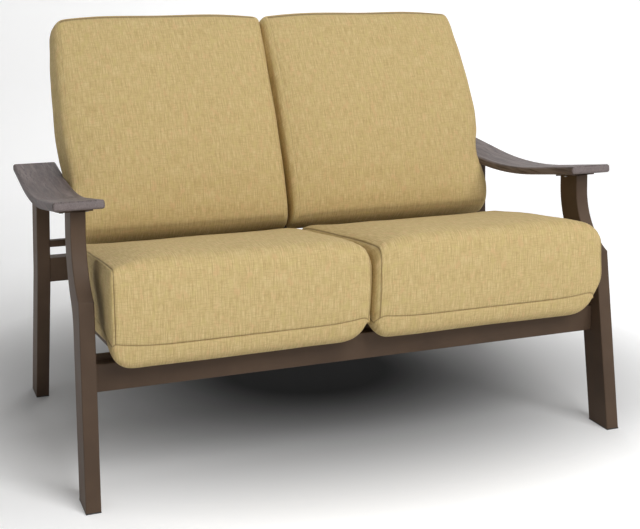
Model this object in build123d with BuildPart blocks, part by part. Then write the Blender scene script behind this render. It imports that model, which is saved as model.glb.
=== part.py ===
from build123d import *
from math import sin, cos, tan, radians
import os

# Patio loveseat: welded aluminium side frames and cross rails, two curved arms,
# strapped seats and backs, and four loose cushions. Millimetres, +Z up.
# Every side view is drawn in a plane whose first axis runs back from the front feet.
# The left half is modelled, and the right half is its mirror image.

# Driving dimensions
foot_width = 1270.0            # over the outside of the front feet
side_lean = 2.0                # each side frame leans in towards its top, degrees
arm_height = 621.0             # front end of the arm, top surface
recline = 25.5                 # back uprights, degrees from the vertical
seat_slope = 5.8               # seat rails, degrees down to the rear
seat_corner_back = 528.0       # where the top of the seat rails meets the front of the uprights
seat_corner_height = 258.0
overrun = 20.0                 # how far cutting shapes run past what they cut
clearance = 0.3                # air between pieces that only lie against each other

# Legs
leg_thickness = 31.75
leg_depth = 76.0
leg_wall = 3.0
leg_edge_radius = 2.5
leg_rake = 8.3                 # front leg below its knee, degrees from the vertical
knee_drop = 196.0              # below the front end of the arm
post_front_back = 150.0        # front of the upper part of the front leg
post_depth = 71.0
post_arc_drop = 61.0           # centre of the arc that sweeps up from the knee, below the arm
rear_blend_radius = 90.0       # rear edge, between the straight leg and the sweep
rear_leg_back = 650.0          # front of the rear leg, upper part
rear_bend_height = 330.0
rear_foot_back = 710.0
rear_bend_radius = 260.0

# Foot glides
glide_pad = 3.0
glide_plug = 22.0
glide_edge = 1.0

# Front rail, rear rail and cross bar
front_rail_back = 77.0
front_rail_bottom = 229.0
rail_height = 60.0
rail_depth = 38.0
rail_wall = 2.5
rail_edge_radius = 2.0
lip_height = 11.5
lip_depth = 13.0
rear_rail_gap = 2.0            # behind the front of the rear leg
rear_rail_bottom = 318.0
bar_size = 17.0
bar_bottom = 405.0
bar_wall = 2.0

# Seat rails and back uprights
support_width = 22.0
seat_rail_depth = 38.0
upright_depth = 42.0
support_wall = 2.0
upright_length = 661.0         # above the seat corner
inner_support_x = 20.0         # middle of the inner rails and uprights
outer_support_inset = 130.0    # middle of the outer ones, in from the outside of the feet
top_rail_drop = 12.0
top_rail_size = 25.0
cap_thickness = 2.0
cap_plug = 18.0
spacer_height = 40.0
centre_spacer_height = 22.0

# Arms, arm plates and screws
arm_width = 105.0
arm_overhang = 40.0            # past the outer face of the legs
arm_thickness = 19.0
arm_front_back = 118.0
arm_dip_back = 467.0
arm_dip_depth = 57.0           # below the front end
arm_rear_back = 774.0
arm_rear_drop = 23.0           # below the front end
arm_bend_radius = 1200.0
arm_edge_radius = 6.0
plate_thickness = 4.0
plate_width = 70.0
plate_length = 66.0
plate_corner = 6.0
screw_spread = 52.0
screw_diameter = 4.0
screw_head_diameter = 8.5
screw_head_height = 2.5
screw_grip = 12.0

# Straps and rivets
strap_width = 50.0
strap_thickness = 2.0
strap_tab = 26.0
seat_strap_count = 6
seat_strap_start = 48.0        # first strap's middle, behind the front rail
seat_strap_end = 40.0          # last strap's middle, in front of the seat corner
back_strap_count = 6
back_strap_start = 215.0       # first strap's middle, above the seat corner
back_strap_end = 60.0
rivet_diameter = 9.0
rivet_head = 2.2

# Cushions
cushion_gap = 4.0              # between the two cushions of a pair
seat_cushion_inset = 62.0      # cushion's side, in from the outside of the feet
seat_front_back = 7.0
seat_front_height = 290.0
seat_front_top = 492.0
seat_rear_back = 527.0
seat_rear_thickness = 160.0
seat_crown = 36.0
seat_front_bulge = 6.0
seat_front_radius = 52.0
seat_lower_radius = 20.0
seat_rear_radius = 34.0
seat_step_front = 20.0         # underside starts to rise over the rail, in front of it
seat_step_rear = 10.0          # and ends the rise, in front of the lip
back_cushion_inset = 70.0
back_bottom = 178.0            # up from the seat corner, along the uprights
back_top = 728.0
back_lower_thickness = 104.0
back_upper_thickness = 90.0
back_crown = 30.0
back_end_crown = 10.0
back_lower_radius = 46.0
back_upper_radius = 24.0
back_rear_radius = 14.0
side_draw = 17.0               # how far a cushion's side is drawn in all round
cover_thickness = 2.0

# Derived sizes
lean = tan(radians(side_lean))
foot_half = foot_width / 2
outer_support_x = foot_half - outer_support_inset
seat_cushion_width = foot_half - seat_cushion_inset - cushion_gap / 2
back_cushion_width = foot_half - back_cushion_inset - cushion_gap / 2
knee_height = arm_height - knee_drop
knee_back = knee_height * tan(radians(leg_rake))
post_arc_height = arm_height - post_arc_drop
arm_dip_height = arm_height - arm_dip_depth
arm_rear_height = arm_height - arm_rear_drop
lean_in = radians(side_lean)
slope = radians(seat_slope)
tilt = radians(recline)
upright_rear = seat_corner_back + upright_length * sin(tilt) + upright_depth * cos(tilt)
overall_depth = upright_rear + cap_thickness * sin(tilt)
front_rail_top = front_rail_bottom + rail_height
front_rail_rear = front_rail_back + rail_depth
rear_rail_back = rear_leg_back + rear_rail_gap
seat_rail_length = (seat_corner_back - front_rail_rear) / cos(slope)
arm_x = foot_half - lean * arm_height + arm_overhang - arm_width / 2

os.makedirs("parts", exist_ok=True)

side_plane = Plane(origin=(0, -overall_depth / 2, 0), x_dir=(0, 1, 0), z_dir=(1, 0, 0))
floor = Plane.XY
saved = []


def save(part, name):
    """Labels a finished piece and writes it."""
    part.label = name
    export_step(part, f"parts/{name}.step")
    saved.append(name)


def save_pair(part, stem, tail=""):
    """Writes a piece of the left half, and its mirror image as the right half's."""
    save(part, f"{stem}_left{tail}")
    save(mirror(part, about=Plane.YZ), f"{stem}_right{tail}")


# Middle plane of the left legs, its normal towards the middle of the seat
leg_plane = Plane(
    origin=(leg_thickness / 2 - foot_half, -overall_depth / 2, 0),
    x_dir=(0, 1, 0),
    z_dir=(cos(lean_in), 0, -sin(lean_in)),
)
leg_inner_face = leg_plane.offset(leg_thickness / 2)


def in_side_view(back, height):
    """A point of the side view as a place in space, on the middle plane."""
    return side_plane.from_local_coords((back, height, 0))


# Slopes of the arm's two straight stretches
arm_front_slope = (arm_height - arm_dip_height) / (arm_dip_back - arm_front_back)
arm_rear_slope = (arm_rear_height - arm_dip_height) / (arm_rear_back - arm_dip_back)


def arm_underside(back):
    """Height of the straight stretches of the arm's underside, and their slope."""
    if back < arm_dip_back:
        rise = -arm_front_slope
        top = arm_height + rise * (back - arm_front_back)
    else:
        rise = arm_rear_slope
        top = arm_rear_height + rise * (back - arm_rear_back)
    return top - arm_thickness * (1 + rise ** 2) ** 0.5, rise


def plate_plane(back, drop):
    """Plane parallel to the arm's underside, a given distance below it, over a leg."""
    height, rise = arm_underside(back)
    along = Vector(0, 1, rise).normalized()
    up = Vector(1, 0, 0).cross(along)
    place = Vector(-arm_x, back - overall_depth / 2, height) - up * drop
    return Plane(origin=place, x_dir=(1, 0, 0), z_dir=up)


def draw_front_leg():
    """Outline of the front leg in its own plane: straight, knee at the front, sweep, post."""
    run = knee_back / knee_height
    sweep_radius = ((knee_height - post_arc_height) ** 2 + (post_front_back - knee_back) ** 2) / (
        2 * (post_front_back - knee_back)
    )
    sweep_back = post_front_back - sweep_radius
    knee_angle = -Vector(knee_back - sweep_back, knee_height - post_arc_height, 0).get_angle(
        Vector(1, 0, 0)
    )
    rear_radius = sweep_radius + post_depth
    rear_run = leg_depth * (1 + run ** 2) ** 0.5
    # where the straight rear edge meets the rear sweep
    a = 1 + run ** 2
    b = 2 * (run * (rear_run - sweep_back) - post_arc_height)
    c = (rear_run - sweep_back) ** 2 + post_arc_height ** 2 - rear_radius ** 2
    meet_height = (-b - (b ** 2 - 4 * a * c) ** 0.5) / (2 * a)
    meet_back = rear_run + run * meet_height
    meet_angle = -Vector(meet_back - sweep_back, meet_height - post_arc_height, 0).get_angle(
        Vector(1, 0, 0)
    )
    top = arm_height
    with BuildLine() as edge:
        Line((-run * overrun, -overrun), (knee_back, knee_height))
        CenterArc((sweep_back, post_arc_height), sweep_radius, knee_angle, -knee_angle)
        Line((post_front_back, post_arc_height), (post_front_back, top))
        Line((post_front_back, top), (post_front_back + post_depth, top))
        Line((post_front_back + post_depth, top), (post_front_back + post_depth, post_arc_height))
        CenterArc((sweep_back, post_arc_height), rear_radius, 0, meet_angle)
        Line((meet_back, meet_height), (rear_run - run * overrun, -overrun))
        Line((rear_run - run * overrun, -overrun), (-run * overrun, -overrun))
    with BuildSketch() as outline:
        add(edge.line)
        make_face()
        corner = outline.vertices().sort_by_distance((meet_back, meet_height))[0]
        fillet(corner, rear_blend_radius)
    return outline.sketch


def draw_rear_leg():
    """Outline of the rear leg in its own plane: kicked back below a bend, upright above it."""
    run = (rear_foot_back - rear_leg_back) / rear_bend_height
    low = (rear_foot_back + run * overrun, -overrun)
    bend = (rear_leg_back, rear_bend_height)
    top = (rear_leg_back, arm_height)
    with BuildSketch() as outline:
        with BuildLine():
            FilletPolyline(low, bend, top, radius=rear_bend_radius)
            offset(amount=leg_depth, side=Side.RIGHT)
        make_face()
    return outline.sketch


def build_leg(outline, back):
    """A leg: hollow, open at both ends, standing on its glide and cut to the arm plate."""
    with BuildPart() as leg:
        with BuildSketch(leg_plane):
            add(outline)
        extrude(amount=leg_thickness / 2, both=True)
        rims = leg.faces().sort_by(SortBy.AREA)[-2:]
        fillet(rims.edges(), leg_edge_radius)
        with BuildSketch(leg_plane):
            add(outline)
            offset(amount=-leg_wall, mode=Mode.REPLACE)
        extrude(amount=leg_thickness / 2 - leg_wall, both=True, mode=Mode.SUBTRACT)
        split(bisect_by=floor.offset(glide_pad), keep=Keep.TOP)
        split(bisect_by=plate_plane(back, plate_thickness), keep=Keep.BOTTOM)
    return leg.part


def build_glide(outline):
    """A plastic foot: a pad under the leg and a plug inside it."""
    plug_inset = leg_wall + clearance
    with BuildPart() as pad:
        with BuildSketch(leg_plane):
            add(outline)
        extrude(amount=leg_thickness / 2, both=True)
        split(bisect_by=floor, keep=Keep.TOP)
        split(bisect_by=floor.offset(glide_pad), keep=Keep.BOTTOM)
        fillet(pad.edges().group_by(Axis.Z)[0], glide_edge)
    with BuildPart() as plug:
        with BuildSketch(leg_plane):
            add(outline)
            offset(amount=-plug_inset, mode=Mode.REPLACE)
        extrude(amount=leg_thickness / 2 - plug_inset, both=True)
        split(bisect_by=floor.offset(glide_pad / 2), keep=Keep.TOP)
        split(bisect_by=floor.offset(glide_pad + glide_plug), keep=Keep.BOTTOM)
    with BuildPart() as glide:
        add(pad.part)
        add(plug.part)
    return glide.part


def build_cross_rail(section, cavity):
    """A rail between the legs' inner faces, from its side-view section and its cavity."""
    with BuildPart() as rail:
        with BuildSketch(side_plane):
            add(section)
            add(cavity, mode=Mode.SUBTRACT)
        extrude(amount=-foot_half)
        split(bisect_by=leg_inner_face, keep=Keep.TOP)
        mirror(about=Plane.YZ)
    return rail.part


def draw_box(back, bottom, depth, height, radius):
    """A rounded rectangle in the side view, by its front lower corner."""
    with BuildSketch() as box:
        with Locations((back + depth / 2, bottom + height / 2)):
            RectangleRounded(depth, height, radius)
    return box.sketch


def support_plane(back, height, angle, x):
    """Plane of a bar in the side view that starts at a place and runs back at an angle."""
    start = in_side_view(back, height) + Vector(x, 0, 0)
    return Plane(origin=start, x_dir=(0, cos(angle), sin(angle)), z_dir=(1, 0, 0))


def build_support(plane, start, end, depth, cuts):
    """A hollow bar below its plane's first axis, from start to end along it."""
    middle = (start + end) / 2
    with BuildPart() as bar:
        with BuildSketch(plane):
            with Locations((middle, -depth / 2)):
                Rectangle(end - start, depth)
        extrude(amount=support_width / 2, both=True)
        with BuildSketch(plane):
            with Locations((middle, -depth / 2)):
                Rectangle(end - start + overrun, depth - 2 * support_wall)
        extrude(amount=support_width / 2 - support_wall, both=True, mode=Mode.SUBTRACT)
        for cut in cuts:
            split(bisect_by=cut, keep=Keep.BOTTOM)
    return bar.part


def spread(start, end, count):
    """Evenly spaced places from start to end."""
    return [start + (end - start) * i / (count - 1) for i in range(count)]


# Middle axes of the seats and backs, and the straps' places along them
seat_rail_start = seat_corner_height + (seat_corner_back - front_rail_rear) * tan(slope)
seat_axis = support_plane(front_rail_rear, seat_rail_start, -slope, 0)
back_axis = support_plane(seat_corner_back, seat_corner_height, radians(90) - tilt, 0)
seat_places = spread(seat_strap_start, seat_rail_length - seat_strap_end, seat_strap_count)
back_places = spread(back_strap_start, upright_length - back_strap_end, back_strap_count)

front_outline = draw_front_leg()
rear_outline = draw_rear_leg()
post_middle = post_front_back + post_depth / 2
rear_middle = rear_leg_back + leg_depth / 2

# Legs and glides
save_pair(build_leg(front_outline, post_middle), "front_leg")
save_pair(build_leg(rear_outline, rear_middle), "rear_leg")
save_pair(build_glide(front_outline), "front_glide")
save_pair(build_glide(rear_outline), "rear_glide")

# Front rail: a box with a raised lip along the rear of its top
with BuildSketch() as front_rail_section:
    with BuildLine():
        Polyline(
            (front_rail_back, front_rail_bottom),
            (front_rail_rear, front_rail_bottom),
            (front_rail_rear, front_rail_top + lip_height),
            (front_rail_rear - lip_depth, front_rail_top + lip_height),
            (front_rail_rear - lip_depth, front_rail_top),
            (front_rail_back, front_rail_top),
            close=True,
        )
    make_face()
    fillet(front_rail_section.vertices(), rail_edge_radius)
with BuildSketch() as front_rail_cavity:
    add(draw_box(
        front_rail_back + rail_wall,
        front_rail_bottom + rail_wall,
        rail_depth - 2 * rail_wall,
        rail_height - 2 * rail_wall,
        rail_edge_radius,
    ))
save(build_cross_rail(front_rail_section.sketch, front_rail_cavity.sketch), "front_rail")

# Rear rail and the thin cross bar above it
rear_rail = build_cross_rail(
    draw_box(rear_rail_back, rear_rail_bottom, rail_depth, rail_height, rail_edge_radius),
    draw_box(
        rear_rail_back + rail_wall,
        rear_rail_bottom + rail_wall,
        rail_depth - 2 * rail_wall,
        rail_height - 2 * rail_wall,
        rail_edge_radius / 2,
    ),
)
save(rear_rail, "rear_rail")
bar_top_on_upright = (bar_bottom + bar_size - seat_corner_height) * tan(tilt)
bar_back = seat_corner_back + bar_top_on_upright + upright_depth / cos(tilt) + clearance
cross_bar = build_cross_rail(
    draw_box(bar_back, bar_bottom, bar_size, bar_size, rail_edge_radius),
    draw_box(
        bar_back + bar_wall,
        bar_bottom + bar_wall,
        bar_size - 2 * bar_wall,
        bar_size - 2 * bar_wall,
        rail_edge_radius / 2,
    ),
)
save(cross_bar, "back_cross_bar")

# Seat rails and back uprights, one pair on each side of each seat
upright_front = Plane(
    origin=in_side_view(seat_corner_back, seat_corner_height),
    x_dir=(1, 0, 0),
    z_dir=(0, cos(tilt), -sin(tilt)),
)
front_rail_face = Plane(
    origin=in_side_view(front_rail_rear, 0), x_dir=(1, 0, 0), z_dir=(0, -1, 0)
)
upright_foot = seat_rail_depth / cos(tilt - slope)
for place, offset_x in (("inner", inner_support_x), ("outer", outer_support_x)):
    rail_axis = support_plane(front_rail_rear, seat_rail_start, -slope, -offset_x)
    seat_rail = build_support(
        rail_axis,
        -overrun,
        seat_rail_length + overrun,
        seat_rail_depth,
        [upright_front, front_rail_face],
    )
    save_pair(seat_rail, "seat_rail", f"_{place}")
    upright_axis = support_plane(
        seat_corner_back, seat_corner_height, radians(90) - tilt, -offset_x
    )
    upright = build_support(upright_axis, -upright_foot, upright_length, upright_depth, [])
    save_pair(upright, "back_upright", f"_{place}")
    with BuildPart() as cap:
        with BuildSketch(upright_axis):
            with Locations((upright_length + cap_thickness / 2, -upright_depth / 2)):
                Rectangle(cap_thickness, upright_depth)
        extrude(amount=support_width / 2, both=True)
        with BuildSketch(upright_axis):
            plug_depth = upright_depth - 2 * (support_wall + clearance)
            with Locations((upright_length - cap_plug / 2, -upright_depth / 2)):
                Rectangle(cap_plug, plug_depth)
        extrude(amount=support_width / 2 - support_wall - clearance, both=True)
    save_pair(cap.part, "upright_cap", f"_{place}")

# Top rail across the back, between the two uprights
top_axis = support_plane(
    seat_corner_back,
    seat_corner_height,
    radians(90) - tilt,
    -(inner_support_x + outer_support_x) / 2,
)
with BuildPart() as top_rail:
    with BuildSketch(top_axis):
        with Locations((upright_length - top_rail_drop - top_rail_size / 2, -upright_depth / 2)):
            RectangleRounded(top_rail_size, top_rail_size, rail_edge_radius)
            Rectangle(
                top_rail_size - 2 * support_wall,
                top_rail_size - 2 * support_wall,
                mode=Mode.SUBTRACT,
            )
    extrude(amount=(outer_support_x - inner_support_x - support_width) / 2, both=True)
save_pair(top_rail.part, "top_rail")

# Spacers: two between the inner uprights, and one behind each upright on the rear rail
inner_clear = 2 * inner_support_x - support_width
with BuildPart() as centre_spacers:
    low_place = (bar_bottom - seat_corner_height) / cos(tilt)
    high_place = upright_length - (back_strap_end - strap_width / 2) / 2
    with BuildSketch(back_axis):
        with Locations((low_place, -upright_depth / 2), (high_place, -upright_depth / 2)):
            Rectangle(centre_spacer_height, upright_depth / 2)
    extrude(amount=inner_clear / 2, both=True)
save(centre_spacers.part, "centre_spacers")

spacer_bottom = rear_rail_bottom + (rail_height - spacer_height) / 2
spacer_top = spacer_bottom + spacer_height
upright_rear_face = [
    seat_corner_back + (height - seat_corner_height) * tan(tilt) + upright_depth / cos(tilt)
    for height in (spacer_bottom, spacer_top)
]
with BuildPart() as rear_spacers:
    for offset_x in (inner_support_x, outer_support_x):
        with BuildSketch(side_plane.offset(-offset_x)):
            with BuildLine():
                Polyline(
                    (upright_rear_face[0], spacer_bottom),
                    (rear_rail_back, spacer_bottom),
                    (rear_rail_back, spacer_top),
                    (upright_rear_face[1], spacer_top),
                    close=True,
                )
            make_face()
        extrude(amount=support_width / 2, both=True)
    mirror(about=Plane.YZ)
save(rear_spacers.part, "rear_rail_spacers")


def place_screws(back, drop):
    """Planes of the two screws of one arm plate, a distance below the arm's underside."""
    base = plate_plane(back, drop)
    return [Plane(base.from_local_coords((x, 0, 0)), x_dir=base.x_dir, z_dir=base.z_dir)
            for x in (-screw_spread / 2, screw_spread / 2)]


# Side view of an arm: straight at both ends, dipped between them
with BuildSketch() as arm_sketch:
    with BuildLine():
        FilletPolyline(
            (arm_front_back, arm_height),
            (arm_dip_back, arm_dip_height),
            (arm_rear_back, arm_rear_height),
            radius=arm_bend_radius,
        )
        offset(amount=arm_thickness, side=Side.RIGHT)
    make_face()
arm_outline = arm_sketch.sketch

# Arm plates, arms and screws
plate_places = {"front": post_middle, "rear": rear_middle}
for place, back in plate_places.items():
    with BuildPart() as plate:
        with BuildSketch(plate_plane(back, plate_thickness)):
            RectangleRounded(plate_width, plate_length, plate_corner)
            with GridLocations(screw_spread, 0, 2, 1):
                Circle(screw_diameter / 2 + clearance, mode=Mode.SUBTRACT)
        extrude(amount=plate_thickness)
    save_pair(plate.part, f"arm_plate_{place}")

with BuildPart() as arm:
    with BuildSketch(side_plane.offset(-arm_x)):
        add(arm_outline)
    extrude(amount=arm_width / 2, both=True)
    fillet(arm.edges(), arm_edge_radius)
    for back in plate_places.values():
        for hole in place_screws(back, 0):
            with BuildSketch(hole):
                Circle(screw_diameter / 2 + clearance)
            extrude(amount=screw_grip + clearance, mode=Mode.SUBTRACT)
save_pair(arm.part, "arm")

with BuildPart() as arm_screws:
    for back in plate_places.values():
        for head in place_screws(back, plate_thickness + screw_head_height):
            with BuildSketch(head):
                Circle(screw_head_diameter / 2)
            extrude(amount=screw_head_height)
            with BuildSketch(head):
                Circle(screw_diameter / 2)
            extrude(amount=screw_head_height + plate_thickness + screw_grip)
    mirror(about=Plane.YZ)
save(arm_screws.part, "arm_screws")


# Straps across one bay, over the outer faces of its two supports
strap_inner = inner_support_x - support_width / 2
strap_outer = outer_support_x + support_width / 2


def build_straps(axis, places):
    """Straps over the two supports of a bay and down their far sides."""
    with BuildPart() as straps:
        for place in places:
            across = Plane(
                origin=axis.from_local_coords((place - strap_width / 2, 0, 0)),
                x_dir=(-1, 0, 0),
                z_dir=axis.x_dir,
            )
            with BuildSketch(across):
                with BuildLine():
                    Polyline(
                        (strap_inner - strap_thickness, -strap_tab),
                        (strap_inner - strap_thickness, strap_thickness),
                        (strap_outer + strap_thickness, strap_thickness),
                        (strap_outer + strap_thickness, -strap_tab),
                        (strap_outer, -strap_tab),
                        (strap_outer, 0),
                        (strap_inner, 0),
                        (strap_inner, -strap_tab),
                        close=True,
                    )
                make_face()
            extrude(amount=strap_width)
    return straps.part


def build_rivets(axis, places):
    """Rivet heads on the straps' tabs, one at each end."""
    inner = strap_inner - strap_thickness
    outer = strap_outer + strap_thickness
    with BuildPart() as rivets:
        for place in places:
            for x, way in ((inner, 1), (outer, -1)):
                spot = axis.from_local_coords((place, -strap_tab / 2, -x))
                with BuildSketch(Plane(origin=spot, x_dir=(0, 1, 0), z_dir=(way, 0, 0))):
                    Circle(rivet_diameter / 2)
                extrude(amount=rivet_head)
    return rivets.part


for kind, axis, places in (("seat", seat_axis, seat_places), ("back", back_axis, back_places)):
    save_pair(build_straps(axis, places), f"{kind}_straps")
    save_pair(build_rivets(axis, places), f"{kind}_strap_rivets")


def draw_seat_section(draw, rise):
    """Side view of a seat cushion, drawn in by an inset; rise is its share of the crown."""
    crown = rise * seat_crown
    bulge = rise * seat_front_bulge
    lift = strap_thickness + clearance
    lip_clear = lift + draw
    rear = seat_rear_back - draw
    rear_bottom = seat_corner_height + (seat_corner_back - rear) * tan(slope) + lip_clear
    rear_top = rear_bottom + seat_rear_thickness - 2 * draw
    front = seat_front_back + draw
    front_top = seat_front_top - draw
    lip = front_rail_rear - lip_depth - seat_step_rear
    lip_height_here = seat_rail_start + (front_rail_rear - lip) * tan(slope) + lip_clear
    under = seat_front_height + draw
    with BuildSketch() as section:
        with BuildLine():
            Line((front + seat_lower_radius, under), (front_rail_back - seat_step_front, under))
            Line((front_rail_back - seat_step_front, under), (lip, lip_height_here))
            Line((lip, lip_height_here), (rear, rear_bottom))
            Line((rear, rear_bottom), (rear, rear_top))
            ThreePointArc(
                (rear, rear_top),
                ((front + rear) / 2, (front_top + rear_top) / 2 + crown),
                (front, front_top),
            )
            ThreePointArc(
                (front, front_top),
                (front + seat_lower_radius / 2 - bulge, (front_top + under) / 2),
                (front + seat_lower_radius, under),
            )
        make_face()
        corners = section.vertices()
        fillet(corners.sort_by_distance((front, front_top))[0], seat_front_radius)
        fillet(corners.sort_by_distance((rear, rear_top))[0], seat_rear_radius)
        fillet(corners.sort_by_distance((rear, rear_bottom))[0], seat_rear_radius)
        fillet(corners.sort_by_distance((front + seat_lower_radius, under))[0], seat_lower_radius / 2)
    return section.sketch


def draw_back_section(draw, rise):
    """Side view of a back cushion, along the uprights and forward from them."""
    crown = rise * back_crown
    swell = rise * back_end_crown
    rear = strap_thickness + clearance + draw
    bottom = back_bottom + draw
    top = back_top - draw
    low = back_lower_thickness - draw
    high = back_upper_thickness - draw
    with BuildSketch() as section:
        with BuildLine():
            Line((top, rear), (bottom, rear))
            ThreePointArc((bottom, rear), (bottom - swell, (rear + low) / 2), (bottom, low))
            ThreePointArc(
                (bottom, low), ((bottom + top) / 2, (low + high) / 2 + crown), (top, high)
            )
            ThreePointArc((top, high), (top + swell, (rear + high) / 2), (top, rear))
        make_face()
        corners = section.vertices()
        fillet(corners.sort_by_distance((bottom, low))[0], back_lower_radius)
        fillet(corners.sort_by_distance((top, high))[0], back_upper_radius)
        fillet(corners.sort_by_distance((bottom, rear))[0], back_rear_radius)
        fillet(corners.sort_by_distance((top, rear))[0], back_rear_radius)
    return section.sketch


# How far in from the side each section lies, and how much of the draw and crown it has;
# a seat cushion keeps its crown nearly to its sides, and a back cushion loses most of it
seat_side_shares = ((0.0, 1.0, 0.75), (0.2, 0.45, 0.82), (0.6, 0.12, 0.88), (1.6, 0.0, 0.94))
seat_middle_shares = ((0.3, 0.0, 0.98), (0.5, 0.0, 1.0), (0.7, 0.0, 0.98))
back_side_shares = ((0.0, 1.0, 0.05), (0.2, 0.45, 0.15), (0.6, 0.12, 0.3), (1.6, 0.0, 0.5))
back_middle_shares = ((0.3, 0.0, 0.85), (0.5, 0.0, 1.0), (0.7, 0.0, 0.85))


def build_arm_room(growth):
    """The space of an arm and its plates, grown all round, where it presses a back cushion in."""
    with BuildPart() as room:
        with BuildSketch(side_plane.offset(-arm_x)):
            add(arm_outline)
            with Locations((0, -plate_thickness - screw_head_height)):
                add(arm_outline)
            offset(amount=growth, mode=Mode.REPLACE)
        extrude(amount=arm_width / 2 + growth, both=True)
    return room.part


def build_cushion(plane, draw_section, width, shares, skin):
    """A cushion lofted across its width, made smaller all round by a skin."""
    side_shares, middle_shares = shares
    near = cushion_gap / 2
    rows = [(near + skin + at * side_draw, pull, rise) for at, pull, rise in side_shares]
    rows += [(near + width * at, pull, rise) for at, pull, rise in middle_shares]
    rows += [
        (near + width - skin - at * side_draw, pull, rise)
        for at, pull, rise in reversed(side_shares)
    ]
    with BuildPart() as cushion:
        for x, pull, rise in rows:
            with BuildSketch(plane.offset(-x)):
                add(draw_section(pull * side_draw + skin, rise))
        loft(ruled=True)
        add(build_arm_room(clearance + skin), mode=Mode.SUBTRACT)
    return cushion.part


# Seat and back cushions: a cover and the foam core in it
cushions = (
    (
        "seat", side_plane, draw_seat_section, seat_cushion_width,
        (seat_side_shares, seat_middle_shares),
    ),
    (
        "back", back_axis, draw_back_section, back_cushion_width,
        (back_side_shares, back_middle_shares),
    ),
)
for kind, plane, draw_section, width, shares in cushions:
    shell = build_cushion(plane, draw_section, width, shares, 0)
    hollow = build_cushion(plane, draw_section, width, shares, cover_thickness)
    core = build_cushion(plane, draw_section, width, shares, cover_thickness + clearance)
    with BuildPart() as cover:
        add(shell)
        add(hollow, mode=Mode.SUBTRACT)
    save_pair(cover.part, f"{kind}_cushion")
    save_pair(core, f"{kind}_foam")

print(len(saved), "nodes; overall depth", round(overall_depth, 1))
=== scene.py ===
import bpy
import bmesh
import math
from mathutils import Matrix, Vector, noise


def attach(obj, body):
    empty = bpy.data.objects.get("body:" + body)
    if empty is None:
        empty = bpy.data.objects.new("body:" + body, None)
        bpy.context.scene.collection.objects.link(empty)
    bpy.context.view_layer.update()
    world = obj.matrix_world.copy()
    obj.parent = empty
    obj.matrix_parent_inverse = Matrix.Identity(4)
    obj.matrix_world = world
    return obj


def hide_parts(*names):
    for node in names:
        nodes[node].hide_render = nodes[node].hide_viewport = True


# Patio loveseat: brown frame, grained arms, straps, and four loose cushions.

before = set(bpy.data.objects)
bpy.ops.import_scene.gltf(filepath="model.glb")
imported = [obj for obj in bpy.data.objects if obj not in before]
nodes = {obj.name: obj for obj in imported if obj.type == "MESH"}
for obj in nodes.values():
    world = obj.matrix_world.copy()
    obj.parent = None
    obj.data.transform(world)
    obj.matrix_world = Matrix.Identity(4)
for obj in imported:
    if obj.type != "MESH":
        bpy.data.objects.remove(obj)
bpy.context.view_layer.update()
scene = bpy.context.scene
scene.view_settings.view_transform = "Standard"
print("frame loaded:", len(nodes), "nodes")


# Camera and lamps

cameraLook = {
    "lens": 65.863,
    "sensor": 36.0,
    "shiftUp": -0.05,
    "place": (-0.9772, -2.6211, 1.0771),
    "turn": (math.pi / 2 - 0.2231, 0.0, -0.3682),
}
cameraData = bpy.data.cameras.new("photoCamera")
cameraData.lens = cameraLook["lens"]
cameraData.sensor_width = cameraLook["sensor"]
cameraData.shift_y = cameraLook["shiftUp"]
photoCamera = bpy.data.objects.new("photoCamera", cameraData)
photoCamera.location = cameraLook["place"]
photoCamera.rotation_euler = cameraLook["turn"]
scene.collection.objects.link(photoCamera)
scene.camera = photoCamera

lamps = {
    "key": {"watts": 305.0, "size": 3.6, "place": (1.3, -4.7, 4.7)},
    "fill": {"watts": 12.0, "size": 3.0, "place": (-2.4, -3.6, 1.7)},
    "rear": {"watts": 15.0, "size": 1.8, "place": (0.5, 1.9, 2.4)},
}
lampAim = Vector((0.0, 0.0, 0.45))
for lampName, look in lamps.items():
    lampData = bpy.data.lights.new(lampName + "Lamp", "AREA")
    lampData.energy = look["watts"]
    lampData.size = look["size"]
    lamp = bpy.data.objects.new(lampName + "Lamp", lampData)
    lamp.location = look["place"]
    lamp.rotation_euler = (lampAim - lamp.location).to_track_quat("-Z", "Y").to_euler()
    scene.collection.objects.link(lamp)
print("camera and lamps placed")


# Node helpers

def linear(*levels):
    # a colour in screen levels, of 255, as the renderer takes it
    shares = [level / 255 for level in levels]
    return tuple(c / 12.92 if c <= 0.04045 else ((c + 0.055) / 1.055) ** 2.4
                 for c in shares) + (1.0,)


def feed(tree, node, inputs):
    # links what is a socket, and sets what is a value
    for key, value in inputs.items():
        if isinstance(value, bpy.types.NodeSocket):
            tree.links.new(value, node.inputs[key])
        else:
            node.inputs[key].default_value = value
    return node


def addNode(tree, kind, inputs=None, **settings):
    node = tree.nodes.new(kind)
    for key, value in settings.items():
        setattr(node, key, value)
    return feed(tree, node, inputs or {})


def addMath(tree, operation, a, b=0.0, c=0.0):
    return addNode(tree, "ShaderNodeMath", {0: a, 1: b, 2: c}, operation=operation).outputs[0]


def times(tree, value, *others):
    for other in others:
        value = addMath(tree, "MULTIPLY", value, other)
    return value


def mixColor(tree, factor, a, b, blend="MIX"):
    return addNode(tree, "ShaderNodeMix", {0: factor, 6: a, 7: b}, data_type="RGBA",
                   blend_type=blend).outputs[2]


def ramp(tree, value, low, high, out=(0.0, 1.0)):
    return addNode(tree, "ShaderNodeMapRange",
                   {"Value": value, "From Min": low, "From Max": high,
                    "To Min": out[0], "To Max": out[1]}, clamp=True).outputs[0]


def addNoise(tree, place, scale, detail, roughness=0.5, **settings):
    return addNode(tree, "ShaderNodeTexNoise",
                   {"Vector": place, "Scale": scale, "Detail": detail, "Roughness": roughness},
                   **settings).outputs


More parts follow.
